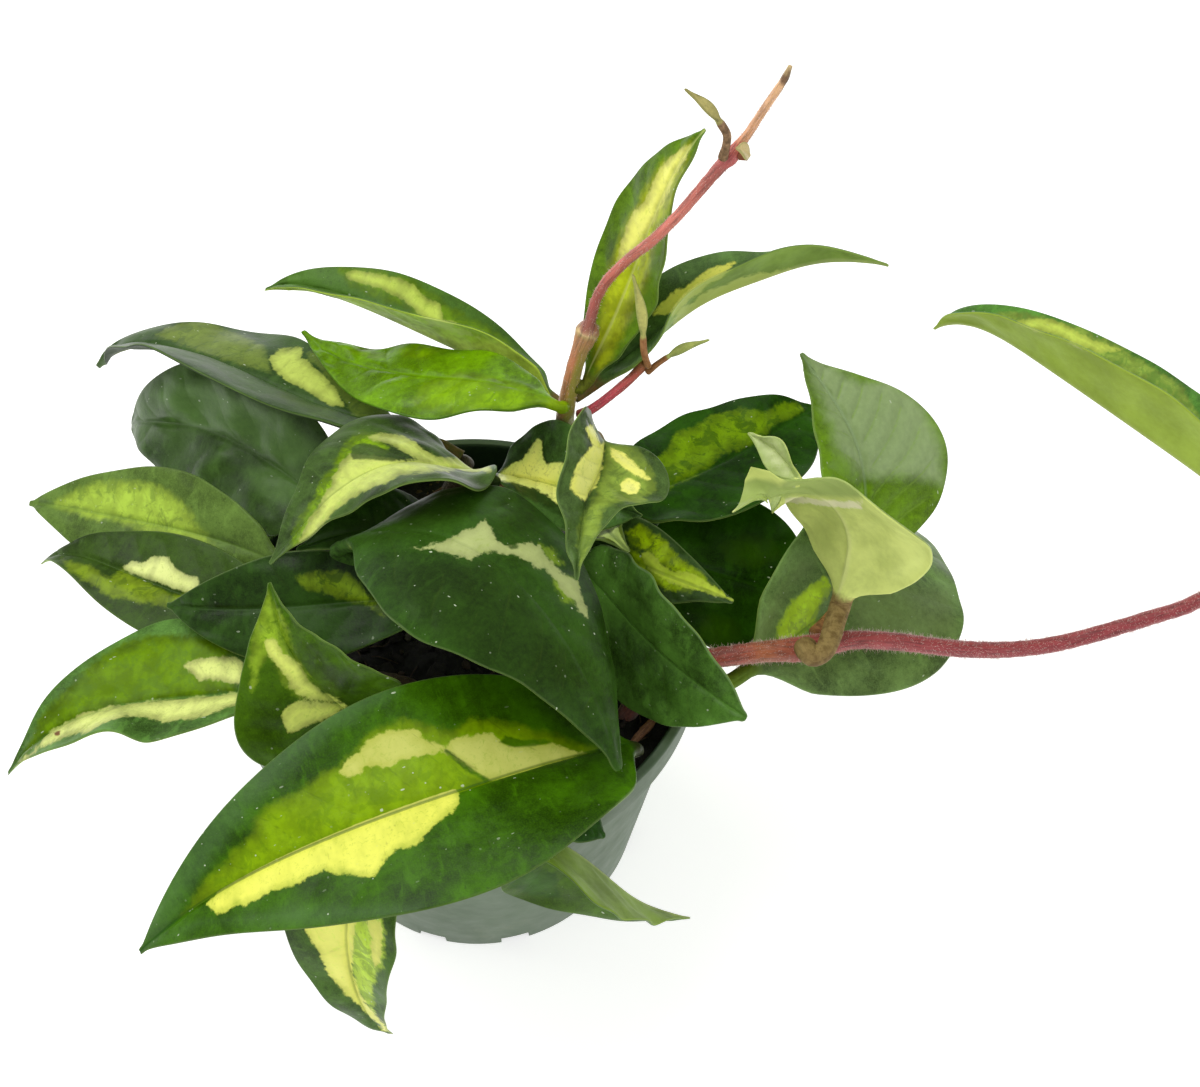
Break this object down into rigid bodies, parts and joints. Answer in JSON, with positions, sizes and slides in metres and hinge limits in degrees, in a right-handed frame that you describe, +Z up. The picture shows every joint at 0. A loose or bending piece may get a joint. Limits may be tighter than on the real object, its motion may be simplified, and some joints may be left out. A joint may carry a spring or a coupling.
{
  "type": "potted hoya vine",
  "caption": "Potted climbing hoya: thick waxy cream-and-green variegated leaves in pairs on crimson and brown stems, rising and trailing from a round tapered nursery pot.",
  "frame": {"origin": "centre of the pot's underside, on the surface the pot stands on", "axes": "+Z up; -Y towards the viewer of the picture, where the largest leaf lies; +X to the right, the way the long vine trails"},
  "size_m": [0.2897, 0.1522, 0.2004],
  "materials": {
    "pot_plastic": "grey-green moulded polypropylene, satin, darker green inside",
    "soil": "dark brown coarse potting mix with bark and pale grit",
    "dry_root": "dry brown fibrous root and old stem bits",
    "leaf_green": "thick waxy succulent leaf, dark green, glossy, with pale specks and a thin light margin",
    "leaf_variegated": "thick waxy succulent leaf, cream and lime centre with dark green margins, semi-gloss",
    "leaf_pale": "waxy leaf showing its pale yellow-green underside, semi-gloss",
    "leaf_young": "young olive to cream leaf on a brown petiole, satin",
    "stem_woody": "brown-green older stem, matte",
    "stem_crimson": "crimson to salmon young vine with short white hairs, satin"
  },
  "bodies": {
    "root": {"nursery_pot": "pot_plastic", "potting_mix": "soil", "root_bit_rear": "dry_root", "root_bit_front": "dry_root", "leaf_rear_left_plain": "leaf_green", "leaf_left_blistered": "leaf_green", "leaf_left_of_centre": "leaf_green", "leaf_behind_centre": "leaf_green", "leaf_right_of_centre": "leaf_green", "leaf_rear_right_upper": "leaf_green", "leaf_rear_right_lower": "leaf_green", "leaf_right_large": "leaf_green", "leaf_right_upright": "leaf_green", "leaf_hanging_small": "leaf_green", "leaf_front_large": "leaf_variegated", "leaf_centre_large": "leaf_variegated", "leaf_left_cream": "leaf_variegated", "leaf_rear_left_folded": "leaf_variegated", "leaf_left_rear_long": "leaf_variegated", "leaf_left_mottled": "leaf_variegated", "leaf_left_middle": "leaf_variegated", "leaf_left_front": "leaf_variegated", "leaf_cupped_small": "leaf_variegated", "leaf_rear_cupped": "leaf_variegated", "leaf_rear_twisted": "leaf_variegated", "leaf_small_pale": "leaf_variegated", "leaf_right_inner": "leaf_variegated", "leaf_far_right": "leaf_variegated", "leaf_hanging_left": "leaf_variegated", "leaf_hanging_right": "leaf_variegated", "leaf_upright_tall": "leaf_variegated", "leaf_upright_arched": "leaf_variegated", "leaf_right_curled": "leaf_pale", "young_leaf_top": "leaf_young", "young_leaf_top_curled": "leaf_young", "young_leaf_shoot_up": "leaf_young", "young_leaf_shoot_side": "leaf_young", "stem_rear_short": "stem_woody", "stem_centre": "stem_woody", "stem_left": "stem_woody", "stem_rear_left": "stem_woody", "stem_left_front": "stem_woody", "stem_front_right": "stem_woody", "stem_front": "stem_woody", "stem_right": "stem_woody", "stem_rear_upright": "stem_crimson", "shoot_rear_thin": "stem_crimson", "vine_trailing": "stem_crimson"}
  },
  "joints": []
}
